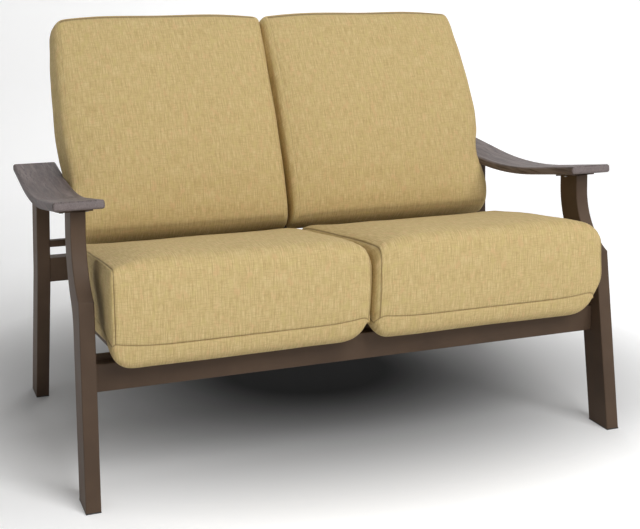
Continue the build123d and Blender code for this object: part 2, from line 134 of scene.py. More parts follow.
def objectNoise(tree, scale, detail=3.0):
    place = addNode(tree, "ShaderNodeTexCoord").outputs["Object"]
    return addNoise(tree, place, scale, detail)[0]


def addBump(tree, height, strength, distance, **normal):
    return addNode(tree, "ShaderNodeBump", {
        "Height": height, "Strength": strength, "Distance": distance, **normal}).outputs[0]


def newGroup(name, inputs, outputs):
    group = bpy.data.node_groups.new(name, "ShaderNodeTree")
    for label, kind, value in inputs:
        socket = group.interface.new_socket(label, in_out="INPUT", socket_type="NodeSocket" + kind)
        if value is not None:
            socket.default_value = value
    for label, kind in outputs:
        group.interface.new_socket(label, in_out="OUTPUT", socket_type="NodeSocket" + kind)
    given = group.nodes.new("NodeGroupInput").outputs
    return group, given, group.nodes.new("NodeGroupOutput")


def placeGroup(tree, group, inputs):
    return addNode(tree, "ShaderNodeGroup", inputs, node_tree=group).outputs


def newMaterial(name, fixed):
    material = bpy.data.materials.new(name)
    material.use_nodes = True
    tree = material.node_tree
    return material, tree, feed(tree, tree.nodes["Principled BSDF"], fixed)


def layColors(group, given, layers, masks):
    # colours laid over the base in turn, each by a mask: from, to and how much
    color = given["Base"]
    for label, mask, low, high, most in layers:
        share = ramp(group, masks[mask], low, high, (0.0, most))
        color = mixColor(group, share, color, given[label])
    return color


# Shared effects

wearLook = {
    "samples": 4,
    "bend": (0.995, 0.86),  # cosine between the true and the rounded surface
    "noise": (4.0, 0.6), "patches": (0.42, 0.62),
}


def makeWearGroup(look):
    group, given, made = newGroup(
        "edgeWear",
        [("Radius", "Float", 0.002), ("Grain", "Float", 90.0), ("Amount", "Float", 0.5)],
        [("Mask", "Float"), ("Normal", "Vector")])
    rounded = addNode(group, "ShaderNodeBevel", {"Radius": given["Radius"]},
                      samples=look["samples"]).outputs[0]
    plain = addNode(group, "ShaderNodeNewGeometry").outputs["Normal"]
    close = addNode(group, "ShaderNodeVectorMath", {0: rounded, 1: plain},
                    operation="DOT_PRODUCT").outputs["Value"]
    place = addNode(group, "ShaderNodeTexCoord").outputs["Object"]
    patches = addNoise(group, place, given["Grain"], *look["noise"])[0]
    mask = times(group, ramp(group, close, *look["bend"]),
                 ramp(group, patches, *look["patches"]), given["Amount"])
    feed(group, made, {"Mask": mask, "Normal": rounded})
    return group


dustLook = {"noise": (5.0, 0.65), "patches": (0.35, 0.75), "facing": (0.25, 1.0)}


def makeDustGroup(look):
    group, given, made = newGroup(
        "dust", [("Amount", "Float", 0.3), ("Scale", "Float", 6.0)], [("Mask", "Float")])
    place = addNode(group, "ShaderNodeTexCoord").outputs["Object"]
    plain = addNode(group, "ShaderNodeNewGeometry").outputs["Normal"]
    up = addNode(group, "ShaderNodeSeparateXYZ", {0: plain}).outputs["Z"]
    cloud = addNoise(group, place, given["Scale"], *look["noise"])[0]
    mask = times(group, ramp(group, cloud, *look["patches"]),
                 ramp(group, up, 0.0, 1.0, look["facing"]), given["Amount"])
    feed(group, made, {"Mask": mask})
    return group


weaveLook = {
    # noise drawn out along the threads: across, along, detail and offset
    "streaks": {"warp": (400.0, 30.0, 3.0, 3.1), "warpFine": (800.0, 150.0, 2.0, 8.7),
                "weftFine": (45.0, 400.0, 2.0, 5.3), "tint": (70.0, 45.0, 2.0, 12.9),
                "patch": (24.0, 20.0, 3.0, 20.2)},
    "roughness": 0.55, "offsetAlong": 0.7,
    "layers": (("Pale", "warp", 0.5, 0.7, 0.65), ("Dark", "warp", 0.5, 0.3, 0.62),
               ("Pale", "warpFine", 0.55, 0.75, 0.4), ("Dark", "weftFine", 0.48, 0.66, 0.4)),
    # rarer tints: from and to in the tint streaks and in the patches, and how much
    "tints": (("Warm", (0.52, 0.7), (0.45, 0.6), (0.05, 0.45)),
              ("Straw", (0.48, 0.32), (0.55, 0.42), (0.1, 0.5))),
    "crossingHeight": 0.35, "crossingShade": (0.93, 1.05),
}


def makeWeaveGroup(look):
    group, given, made = newGroup(
        "heatherWeave",
        [("Vector", "Vector", None), ("Base", "Color", None), ("Pale", "Color", None),
         ("Dark", "Color", None), ("Warm", "Color", None), ("Straw", "Color", None),
         ("Thread", "Float", 0.0011)],
        [("Color", "Color"), ("Height", "Float"), ("Sheen mask", "Float")])
    streaks = {}
    for label, (across, along, detail, offset) in look["streaks"].items():
        drawn = addNode(group, "ShaderNodeMapping", {
            "Vector": given["Vector"], "Scale": (across, along, 1.0),
            "Location": (offset, offset * look["offsetAlong"], 0.0)}).outputs[0]
        streaks[label] = addNoise(group, drawn, 1.0, detail, look["roughness"],
                                  noise_dimensions="2D")[0]
    color = layColors(group, given, look["layers"], streaks)
    for label, streak, patch, amount in look["tints"]:
        share = times(group, ramp(group, streaks["tint"], *streak),
                      ramp(group, streaks["patch"], *patch, amount))
        color = mixColor(group, share, color, given[label])

    parts = addNode(group, "ShaderNodeSeparateXYZ", {0: given["Vector"]}).outputs
    turns = addMath(group, "DIVIDE", 2 * math.pi, given["Thread"])
    crossing = times(group, addMath(group, "SINE", times(group, parts["X"], turns)),
                     addMath(group, "SINE", times(group, parts["Y"], turns)))
    height = addMath(group, "ADD", times(group, crossing, look["crossingHeight"]),
                     addMath(group, "ADD", streaks["warp"], streaks["warpFine"]))
    shade = ramp(group, crossing, -1.0, 1.0, look["crossingShade"])
    shade = addNode(group, "ShaderNodeCombineXYZ", {0: shade, 1: shade, 2: shade}).outputs[0]
    feed(group, made, {"Color": mixColor(group, 1.0, color, shade, "MULTIPLY"),
                       "Height": height, "Sheen mask": streaks["warpFine"]})
    return group


grainLook = {
    "sway": (16.0, 2.0), "swayReach": 0.012,
    # noise drawn out along the board: scale, detail and roughness
    "bands": {"broad": (55.0, 3.0, 0.5), "middle": (170.0, 4.0, 0.6), "fine": (520.0, 2.0, 0.5)},
    "layers": (("Pale", "broad", 0.42, 0.6, 0.8), ("Dark", "middle", 0.53, 0.37, 0.95),
               ("Pale", "fine", 0.52, 0.7, 0.4)),
    "endFacing": (0.55, 0.85), "endAmount": (0.0, 0.85), "endPatches": (0.35, 0.65),
    "fineHeight": 0.5,
}


def makeGrainGroup(look):
    group, given, made = newGroup(
        "boardGrain",
        [("Base", "Color", None), ("Pale", "Color", None), ("Dark", "Color", None),
         ("End", "Color", None), ("Stretch", "Float", 22.0)],
        [("Color", "Color"), ("Height", "Float"), ("Shine", "Float")])
    place = addNode(group, "ShaderNodeTexCoord").outputs
    squeeze = addNode(group, "ShaderNodeCombineXYZ", {
        0: 1.0, 1: addMath(group, "DIVIDE", 1.0, given["Stretch"]), 2: 1.0}).outputs[0]
    along = addNode(group, "ShaderNodeVectorMath", {0: place["Object"], 1: squeeze},
                    operation="MULTIPLY").outputs[0]
    sway = addNode(group, "ShaderNodeVectorMath", {
        0: addNoise(group, along, *look["sway"])["Color"], "Scale": look["swayReach"]},
        operation="SCALE").outputs[0]
    bent = addNode(group, "ShaderNodeVectorMath", {0: along, 1: sway}, operation="ADD").outputs[0]
    bands = {label: addNoise(group, bent, *noiseLook)[0]
             for label, noiseLook in look["bands"].items()}
    color = layColors(group, given, look["layers"], bands)
    facing = addNode(group, "ShaderNodeSeparateXYZ", {0: place["Normal"]}).outputs["Y"]
    sawn = ramp(group, addMath(group, "ABSOLUTE", facing), *look["endFacing"], look["endAmount"])
    endColor = mixColor(group, ramp(group, bands["fine"], *look["endPatches"]),
                        given["End"], given["Pale"])
    height = addMath(group, "ADD", bands["middle"], times(group, bands["fine"], look["fineHeight"]))
    feed(group, made, {"Color": mixColor(group, sawn, color, endColor), "Height": height,
                       "Shine": bands["middle"]})
    return group


wearGroup = makeWearGroup(wearLook)
dustGroup = makeDustGroup(dustLook)
weaveGroup = makeWeaveGroup(weaveLook)
grainGroup = makeGrainGroup(grainLook)
print("shared effects made")


# Materials

noiseSpan = (0.3, 0.7)  # where most of a noise lies
coatLook = {
    "fixed": {"Roughness": 0.55, "Specular IOR Level": 0.22},
    "base": linear(84, 67, 53), "shade": linear(74, 58, 45), "worn": linear(112, 94, 80),
    "dusty": linear(118, 104, 90), "wear": {"Radius": 0.0022, "Amount": 0.4},
    "dust": {"Amount": 0.12}, "cloud": 9.0, "cloudShades": (0.35, 0.65),
    "roughness": (0.5, 0.62), "speckle": (900.0, 2.0), "bump": (0.12, 0.0004),
}


def makeCoat(look):
    material, tree, shader = newMaterial("brownPowderCoat", look["fixed"])
    wear = placeGroup(tree, wearGroup, look["wear"])
    dust = placeGroup(tree, dustGroup, look["dust"])
    speckle = objectNoise(tree, *look["speckle"])
    cloud = objectNoise(tree, look["cloud"])
    color = mixColor(tree, ramp(tree, cloud, *look["cloudShades"]), look["shade"], look["base"])
    color = mixColor(tree, wear["Mask"], color, look["worn"])
    feed(tree, shader, {
        "Base Color": mixColor(tree, dust["Mask"], color, look["dusty"]),
        "Roughness": ramp(tree, cloud, *noiseSpan, look["roughness"]),
        "Normal": addBump(tree, speckle, *look["bump"], Normal=wear["Normal"])})
    return material


boardLook = {
    "fixed": {"Roughness": 0.5, "Specular IOR Level": 0.25},
    "colors": {"Base": linear(98, 87, 85), "Pale": linear(128, 117, 115),
               "Dark": linear(65, 56, 54), "End": linear(108, 100, 99)},
    "wear": {"Radius": 0.0015, "Grain": 160.0, "Amount": 0.15},
    "shine": (0.35, 0.65), "roughness": (0.5, 0.68), "bump": (0.35, 0.0006),
}


def makeBoard(look):
    material, tree, shader = newMaterial("greyBrownBoard", look["fixed"])
    grain = placeGroup(tree, grainGroup, look["colors"])
    wear = placeGroup(tree, wearGroup, look["wear"])
    feed(tree, shader, {
        "Base Color": mixColor(tree, wear["Mask"], grain["Color"], look["colors"]["Pale"]),
        "Roughness": ramp(tree, grain["Shine"], *look["shine"], look["roughness"]),
        "Normal": addBump(tree, grain["Height"], *look["bump"], Normal=wear["Normal"])})
    return material


fabricLook = {
    "fixed": {"Roughness": 0.86, "Sheen Weight": 0.04, "Sheen Roughness": 0.5,
              "Specular IOR Level": 0.15},
    "colors": {"Base": linear(203, 179, 126), "Pale": linear(221, 201, 151),
               "Dark": linear(179, 153, 101), "Warm": linear(215, 178, 132),
               "Straw": linear(203, 184, 123)},
    "thread": 0.0011, "roughness": (0.8, 0.92), "bump": (0.35, 0.0005),
    # seam: painted shade along the seams, laid by each point's seamShade weight; seamSpan and
    # seamAmount set how it grows
    "seam": linear(116, 95, 60), "seamSpan": (0.15, 1.0), "seamAmount": (0.0, 0.9),
}


def makeFabric(look):
    material, tree, shader = newMaterial("strawWeave", look["fixed"])
    place = addNode(tree, "ShaderNodeUVMap", uv_map="cloth").outputs[0]
    weave = placeGroup(tree, weaveGroup, {
        "Vector": place, "Thread": look["thread"], **look["colors"]})
    # painted shade along the seams, by each point's seam weight
    seam = addNode(tree, "ShaderNodeAttribute", attribute_name="seamShade").outputs["Fac"]
    shade = ramp(tree, seam, *look["seamSpan"], look["seamAmount"])
    feed(tree, shader, {
        "Base Color": mixColor(tree, shade, weave["Color"], look["seam"]),
        "Roughness": ramp(tree, weave["Sheen mask"], *noiseSpan, look["roughness"]),
        "Normal": addBump(tree, weave["Height"], *look["bump"])})
    return material


strapLook = {
    "fixed": {"Roughness": 0.7, "Specular IOR Level": 0.3},
    "base": linear(50, 43, 38), "pale": linear(78, 68, 60), "rib": 0.0024,
    "fray": 220.0, "frayAmount": 1.2, "shades": (-0.4, 1.6), "roughness": (0.78, 0.6),
    "bump": (0.4, 0.0004),
}


def makeStrap(look):
    material, tree, shader = newMaterial("wovenStrap", look["fixed"])
    place = addNode(tree, "ShaderNodeTexCoord").outputs["Object"]
    parts = addNode(tree, "ShaderNodeSeparateXYZ", {0: place}).outputs
    turns = 2 * math.pi / look["rib"]
    along = addMath(tree, "ADD", parts["Y"], parts["Z"])
    weave = times(tree, addMath(tree, "SINE", times(tree, parts["X"], turns)),
                  addMath(tree, "SINE", times(tree, along, turns)))
    frayed = addMath(tree, "MULTIPLY_ADD", objectNoise(tree, look["fray"]),
                     look["frayAmount"], weave)
    feed(tree, shader, {
        "Base Color": mixColor(tree, ramp(tree, frayed, *look["shades"]),
                               look["base"], look["pale"]),
        "Roughness": ramp(tree, weave, -1.0, 1.0, look["roughness"]),
        "Normal": addBump(tree, weave, *look["bump"])})
    return material


# black plastic, dull steel and pale rivets: a colour in screen levels, roughness and metal
smallParts = {
    "blackPlastic": ((34, 33, 32), (0.4, 0.55), 0.0),
    "dullSteel": ((150, 150, 152), (0.28, 0.42), 1.0),
    "paleRivet": ((165, 166, 168), (0.3, 0.4), 1.0),
}
smallFinish = {
    "wear": {"Radius": 0.0008, "Amount": 0.3}, "patches": 60.0, "shade": 0.82,
    "wornTimes": 1.5, "wornPlus": 20, "wornMost": 235, "grain": (720.0, 2.0), "bump": (0.1, 0.0003),
}


def makeSmall(name, color, roughness, metallic, look):
    material, tree, shader = newMaterial(name, {"Roughness": roughness[0], "Metallic": metallic})
    edge = placeGroup(tree, wearGroup, look["wear"])
    patches = objectNoise(tree, look["patches"])
    shade = linear(*[c * look["shade"] for c in color])
    worn = linear(*[min(c * look["wornTimes"] + look["wornPlus"], look["wornMost"])
                    for c in color])
    tone = mixColor(tree, ramp(tree, patches, *noiseSpan), shade, linear(*color))
    grain = objectNoise(tree, *look["grain"])
    feed(tree, shader, {
        "Base Color": mixColor(tree, edge["Mask"], tone, worn),
        "Roughness": ramp(tree, patches, *noiseSpan, roughness),
        "Normal": addBump(tree, grain, *look["bump"], Normal=edge["Normal"])})
    return material


brownCoat = makeCoat(coatLook)
greyBoard = makeBoard(boardLook)
strawFabric = makeFabric(fabricLook)
darkStrap = makeStrap(strapLook)
blackPlastic, dullSteel, paleRivet = [makeSmall(name, *values, smallFinish)
                                      for name, values in smallParts.items()]

finishes = (
    (("front_leg", "rear_leg", "front_rail", "rear_rail_sp", "rear_rail", "back_cross",
      "seat_rail", "back_upright", "top_rail", "arm_plate", "centre_spacers"), brownCoat),
    (("arm_left", "arm_right"), greyBoard),
    (("seat_straps", "back_straps"), darkStrap),
    (("front_glide", "rear_glide", "upright_cap"), blackPlastic),
    (("arm_screws",), dullSteel),
    (("seat_strap_rivets", "back_strap_rivets"), paleRivet),
)
for beginnings, material in finishes:
    for nodeName, node in nodes.items():
        if nodeName.startswith(beginnings):
            for materialSlot in node.material_slots:
                materialSlot.material = material
            if not node.material_slots:
                node.data.materials.append(material)
print("materials made")


# Cushions: a lattice of loops round the side view, set across the width, with two end caps.
# Side views are in millimetres: back from the front feet, and up from the floor. A back
# cushion's own view starts at a corner behind the seat and leans with the uprights.

drawing = {"feetFront": 425.63, "cornerBack": 528.0, "cornerUp": 258.0, "recline": 25.5}
tilt = math.radians(drawing["recline"])
seamSteps = (-6.0, -3.0, -1.2, 0.0, 1.2, 3.0, 6.0)  # rows beside a seam, in millimetres
nearSeam = (1.0, 0.45, 0.12)  # how far a seam draws in its own row and the next two
cornerSteps = 3               # rows in half a rounded corner
cornerPull = 0.55             # how far a corner's curve keeps each side's heading, in radii
restMargin = 2                # rows next to the corners of a resting side that aren't held
tiny = 1e-9                   # keeps a division from zero


def clamped(share):
    return min(max(share, 0.0), 1.0)


def eased(change, share):
    return change * share * share * (3 - 2 * share)


def smoothLine(points, steps=24):
    points = [Vector(p) for p in points]
    if len(points) == 2:
        return [points[0].lerp(points[1], i / steps) for i in range(steps + 1)]
    ends = [points[0] * 2 - points[1]] + points + [points[-1] * 2 - points[-2]]
    line = []
    for i in range(1, len(ends) - 2):
        a, b, c, d = ends[i - 1:i + 3]
        for step in range(steps):
            t = step / steps
            line.append(0.5 * (2 * b + (c - a) * t + (2 * a - 5 * b + 4 * c - d) * t ** 2
                               + (3 * b - a - 3 * c + d) * t ** 3))
    return line + [points[-1]]


def pointsAlong(line, places):
    run = [0.0]
    for a, b in zip(line, line[1:]):
        run.append(run[-1] + (b - a).length)
    found, i = [], 0
    for place in places:
        while i < len(run) - 2 and run[i + 1] < place:
            i += 1
        share = (place - run[i]) / max(run[i + 1] - run[i], tiny)
        found.append(line[i].lerp(line[i + 1], clamped(share)))
    return found


def lineLength(line):
    return sum((b - a).length for a, b in zip(line, line[1:]))


def sidePlaces(length, start, end, seam, before, after):
    # how far along a side its rows lie: even, or close together round a seam
    if seam is None:
        count = before + after
        return [start + (length - start - end) * i / count for i in range(count + 1)]
    first, last = seam + seamSteps[0], seam + seamSteps[-1]
    places = [start + (first - start) * i / before for i in range(before)]
    places += [seam + step for step in seamSteps]
    return places + [last + (length - end - last) * (i + 1) / after for i in range(after)]


def drawLoop(sides, radii, splits):
    # sides run top, front, bottom, rear; each radius is the corner at its side's end
    samples, headings = [], []
    for i, side in enumerate(sides):
        line = smoothLine(side)
        places = sidePlaces(lineLength(line), radii[i - 1], radii[i], *splits[i])
        samples.append(pointsAlong(line, places))
        headings.append(((samples[i][1] - samples[i][0]).normalized(),
                         (samples[i][-1] - samples[i][-2]).normalized()))
    loop, starts = [], []
    for points in samples:
        starts.append(len(loop))
        loop += [None] * cornerSteps + points + [None] * (cornerSteps - 1)
    for i in range(4):
        before, after = samples[i - 1][-1], samples[i][0]
        reach = cornerPull * radii[i - 1]
        a, b = before + headings[i - 1][1] * reach, after - headings[i][0] * reach
        for step in range(1, 2 * cornerSteps):
            t = step / (2 * cornerSteps)
            loop[(starts[i] + step - cornerSteps) % len(loop)] = (
                before * (1 - t) ** 3 + a * 3 * t * (1 - t) ** 2
                + b * 3 * t * t * (1 - t) + after * t ** 3)
    return loop, starts


def rollIn(radius, edge):
    # how much a rounded edge has fallen away, this far from the cushion's end
    if edge >= radius:
        return 0.0
    return radius - math.sqrt(radius ** 2 - (radius - edge) ** 2)


def insetSides(look, edge, share, rolls):
    # between the side view at the ends and that in the middle, and rolled in
    sides = [[Vector(a).lerp(Vector(b), share) for a, b in zip(low, high)]
             for low, high in zip(look["edgeSides"], look["middleSides"])]
    top, front, bottom, rear = [rollIn(radius, edge) for radius in rolls]
    for index, side in enumerate(sides):
        first, last = side[0].copy(), side[-1].copy()
        for point in side:
            if index in (0, 2):
                along = (point.x - first.x) / (last.x - first.x)
                ahead = clamped(along if index == 0 else 1 - along)
                above = 1.0 - index / 2
            else:
                along = (point.y - first.y) / (last.y - first.y)
                above = clamped(along if index == 3 else 1 - along)
                ahead = 1.0 if index == 1 else 0.0
            point.x += front * ahead - rear * (1 - ahead)
            point.y += bottom * (1 - above) - top * above
    return sides


def nearerEnd(look, ends, place):
    nominal = look["nominalWidth"]
    return ends[0 if place < nominal / 2 else 1], min(place, nominal - place)


def loopAt(look, ends, place):
    side, edge = nearerEnd(look, ends, place)
    share = 1 - (1 - min(edge / look["crownReach"], 1.0)) ** 2
    radii = [a + (b - a) * share for a, b in zip(side["radii"], look["radii"])]
    splits = [(seam and seam[0] + (seam[1] - seam[0]) * share, before, after)
              for seam, before, after in look["splits"]]
    return drawLoop(insetSides(look, edge, share, side["rolls"]), radii, splits)


def widthAt(table, height):
    if height <= table[0][0]:
        return table[0][1]
    for (a, valueA), (b, valueB) in zip(table, table[1:]):
        if height <= b:
            return valueA + eased(valueB - valueA, (height - a) / (b - a))
    return table[-1][1]


def acrossAt(look, ends, place, height):
    # the ends' outlines differ from the nominal width, and the width between shares that out
    low, high = [widthAt(end["widths"], height) for end in ends]
    nominal = look["nominalWidth"]
    return low + place + eased(high - low - nominal, place / nominal)


def toSpace(look, across, point):
    # from a cushion's side view, in millimetres, to the row frame, in metres
    back, up = point.x, point.y
    if look["leaning"]:
        back = drawing["cornerBack"] + point.y * math.sin(tilt) + point.x * math.cos(tilt)
        up = drawing["cornerUp"] + point.y * math.cos(tilt) - point.x * math.sin(tilt)
    return Vector((across, back - drawing["feetFront"], up)) / 1000


def drawnIn(steps):
    return nearSeam[steps] if steps < len(nearSeam) else 0.0


def seamWeights(look, plan, place):
    # how deep each row of a loop lies in a seam, from 0 to 1; the same weights lay painted shade
    # along the seams
    starts, count = plan["starts"], plan["count"]
    side, edge = nearerEnd(look, plan["ends"], place)
    sideSeam = look["sideSeamDepth"] * (1 - abs(edge - side["seam"]) / look["seamWidth"])
    sideRows = [(starts[a] + b, starts[c] + d if c else count)
                for a, b, c, d in look["sideSeamRows"]]
    weights = []
    for row in range(count):
        weight = 0.0
        if any(first <= row <= last for first, last in sideRows):
            weight = max(weight, sideSeam)
        if edge >= look["rowSeamFrom"]:
            for index, offset, amount in look["rowSeams"]:
                steps = abs(row - starts[index] - offset)
                weight = max(weight, drawnIn(min(steps, count - steps)) * amount)
        weights.append(weight)
    return weights


def restingRows(look, plan):
    # the rows of the side that lies on the frame
    starts, count = plan["starts"], plan["count"]
    first, last = look["restRows"]
    low = starts[first] + restMargin
    high = (starts[last] if last else count) - restMargin
    return [low < row < high for row in range(count)]


def planCushion(look, mirror):
    # the places of the loops across the width, close together at both ends, and the loops
    ends = look["ends"][0 if mirror < 0 else 1]
    near, far = ends
    nominal, steps = look["nominalWidth"], look["middleSteps"]
    first, last = near["places"][-1], nominal - far["places"][-1]
    stations = near["places"] + [first + (last - first) * i / steps for i in range(1, steps)]
    stations += [nominal - place for place in reversed(far["places"])]
    drawn = [loopAt(look, ends, place) for place in stations]
    loops = [loop for loop, _ in drawn]
    return {"ends": ends, "mirror": mirror, "stations": stations, "loops": loops,
            "starts": drawn[0][1], "count": len(loops[0])}


def addShell(cover, look, plan):
    # the lattice between the two ends; the cloth is laid flat by the middle loop's length
    stations, loops, count = plan["stations"], plan["loops"], plan["count"]
    middle = loops[len(loops) // 2]
    runs, flat = [0.0], []
    for row in range(count):
        runs.append(runs[-1] + (middle[(row + 1) % count] - middle[row]).length)
    for place, loop in zip(stations, loops):
        for point in loop:
            flat.append(acrossAt(look, plan["ends"], place, point.y))
            cover["points"].append(toSpace(look, plan["mirror"] * flat[-1], point))
        cover["seams"] += seamWeights(look, plan, place)
        cover["held"] += restingRows(look, plan)
    for station in range(len(stations) - 1):
        for row in range(count):
            a, b = station * count + row, station * count + (row + 1) % count
            cover["faces"].append((a, b, b + count, a + count))
            cover["cloth"].append(((flat[a], runs[row]), (flat[b], runs[row + 1]),
                                   (flat[b + count], runs[row + 1]), (flat[a + count], runs[row])))


def addCap(cover, look, plan, end):
    # a patch between the four sides of the last loop, that swells outwards
    starts, count, side = plan["starts"], plan["count"], plan["ends"][end]
    station = end * (len(plan["stations"]) - 1)
    place, loop = plan["stations"][station], plan["loops"][station]
    longCount, shortCount = starts[1] - starts[0], starts[2] - starts[1]
    top = [starts[0] + i for i in range(longCount + 1)]
    front = [(starts[1] + j) % count for j in range(shortCount + 1)]
    bottom = [starts[3] - i for i in range(longCount + 1)]
    rear = [(starts[0] - j) % count for j in range(shortCount + 1)]
    grid = {}
    for i in range(longCount + 1):
        for j in range(shortCount + 1):
            if i in (0, longCount) or j in (0, shortCount):
                row = (top[i] if j == 0 else bottom[i] if j == shortCount
                       else rear[j] if i == 0 else front[j])
                grid[i, j] = (station * count + row, loop[row])
                continue
            s, t = i / longCount, j / shortCount
            point = (loop[top[i]] * (1 - t) + loop[bottom[i]] * t
                     + loop[rear[j]] * (1 - s) + loop[front[j]] * s
                     - loop[top[0]] * (1 - s) * (1 - t) - loop[top[-1]] * s * (1 - t)
                     - loop[bottom[0]] * (1 - s) * t - loop[bottom[-1]] * s * t)
            depth = min(min(s, 1 - s) * look["capSize"][0], min(t, 1 - t) * look["capSize"][1])
            share = min(depth / look["capReach"], 1.0)
            swell = side["places"][0] * (1 - (1 - share) ** 2) + side["swell"] * math.sin(
                math.pi * s) * math.sin(math.pi * t)
            across = acrossAt(look, plan["ends"], place + (swell if end else -swell), point.y)
            grid[i, j] = (len(cover["points"]), point)
            cover["points"].append(toSpace(look, plan["mirror"] * across, point))
            cover["seams"].append(max([drawnIn(abs(j - row)) for row in look["capSeams"]] + [0.0]))
            cover["held"].append(False)
    for i in range(longCount):
        for j in range(shortCount):
            around = [grid[key] for key in ((i, j), (i + 1, j), (i + 1, j + 1), (i, j + 1))]
            cover["faces"].append([index for index, _ in around])
            cover["cloth"].append([(spot.x, spot.y) for _, spot in around])


def buildCushion(name, look, mirror):
    plan = planCushion(look, mirror)
    cover = {"points": [], "seams": [], "held": [], "faces": [], "cloth": []}
    addShell(cover, look, plan)
    for end in (0, 1):
        addCap(cover, look, plan, end)
    mesh = bpy.data.meshes.new(name)
    mesh.from_pydata(cover["points"], [], cover["faces"])
    flat = [c / 1000 for corners in cover["cloth"] for corner in corners for c in corner]
    mesh.uv_layers.new(name="cloth").data.foreach_set("uv", flat)
    # the seam weights, kept for the painted shade along the seams
    shade = mesh.attributes.new("seamShade", "FLOAT", "POINT")
    shade.data.foreach_set("value", cover["seams"])
    work = bmesh.new()
    work.from_mesh(mesh)
    bmesh.ops.recalc_face_normals(work, faces=work.faces)
    work.to_mesh(mesh)
    work.free()
    piece = bpy.data.objects.new(name, mesh)
    scene.collection.objects.link(piece)
    return piece, cover


filling = {
    "quality": 6, "mass": 0.3, "stiffness": 30.0, "shear": 15.0, "bending": 5.0,
    "pressure": 4.0, "frames": 20,
    "slack": 0.8, "most": 1.8,  # millimetres: drawn in before filling, and let out by it
    "pinFrom": 0.4,             # a point this deep in a seam stays where it is
}


def fillCushion(piece, cover, look):
    # starts slack, is blown up by the pressure in the cloth, and is held at seams and rests
    mesh = piece.data
    hold = [1.0 if rest else seam for seam, rest in zip(cover["seams"], cover["held"])]
    before = [v.co - v.normal * look["slack"] / 1000 * (1 - amount)
              for v, amount in zip(mesh.vertices, hold)]
    for v, place in zip(mesh.vertices, before):
        v.co = place
    pinned = piece.vertex_groups.new(name="held")
    pinned.add([i for i, amount in enumerate(hold) if amount > look["pinFrom"]], 1.0, "REPLACE")
    cloth = piece.modifiers.new("filling", "CLOTH")
    cloth.settings.quality = look["quality"]
    cloth.settings.mass = look["mass"]
    cloth.settings.tension_stiffness = look["stiffness"]
    cloth.settings.compression_stiffness = look["stiffness"]
    cloth.settings.shear_stiffness = look["shear"]
    cloth.settings.bending_stiffness = look["bending"]
    cloth.settings.use_pressure = True
    cloth.settings.uniform_pressure_force = look["pressure"]
    cloth.settings.vertex_group_mass = "held"
    cloth.settings.effector_weights.gravity = 0.0
    cloth.point_cache.frame_start = 1
    cloth.point_cache.frame_end = look["frames"]
    for step in range(1, look["frames"] + 1):
        scene.frame_set(step)
    filled = piece.evaluated_get(bpy.context.evaluated_depsgraph_get())
    blown = [v.co.copy() for v in filled.data.vertices]
    piece.modifiers.remove(cloth)
    piece.vertex_groups.clear()
    scene.frame_set(1)
    limit, furthest = look["most"] / 1000, 0.0
    for v, a, b in zip(mesh.vertices, before, blown):
        move = b - a
        furthest = max(furthest, move.length)
        v.co = a + move * min(1.0, limit / max(move.length, tiny))
    mesh.update()
    print(piece.name, "filled; the cloth moved up to", round(furthest * 1000, 1), "mm")


def finishCushion(piece, cover, look):
    # soft waves over the cloth, seams drawn in, then one round of smoothing
    mesh = piece.data
    normals = [v.normal.copy() for v in mesh.vertices]
    for v, normal, seam in zip(mesh.vertices, normals, cover["seams"]):
        wave = noise.noise(v.co * look["waveScale"]) * look["waveHeight"] * (1 - seam)
        v.co += normal * (wave - look["seamDepth"] * seam) / 1000
    piece.modifiers.new("smooth", "SUBSURF").levels = 1
    graph = bpy.context.evaluated_depsgraph_get()
    made = bpy.data.meshes.new_from_object(piece.evaluated_get(graph), depsgraph=graph,
                                           preserve_all_data_layers=True)
    piece.modifiers.clear()
    piece.data = made
    made.name = piece.name
    made.polygons.foreach_set("use_smooth", [True] * len(made.polygons))
    made.materials.clear()
    made.materials.append(strawFabric)


endShares = (0.13, 0.25, 0.45, 0.7, 0.92, 1.0, 1.08)  # loops at an end, in steps of its seam's


def makeEnd(rolls, radii, seam, swell, widths, inner):
    # rolls: top, front, bottom and rear; radii: corners; seam: how far in it lies;
    # widths: where the end lies across, by height; inner: loops further in than the seam
    return {"rolls": rolls, "radii": radii, "seam": seam, "swell": swell, "widths": widths,
            "places": [seam * share for share in endShares] + [seam + step for step in inner]}


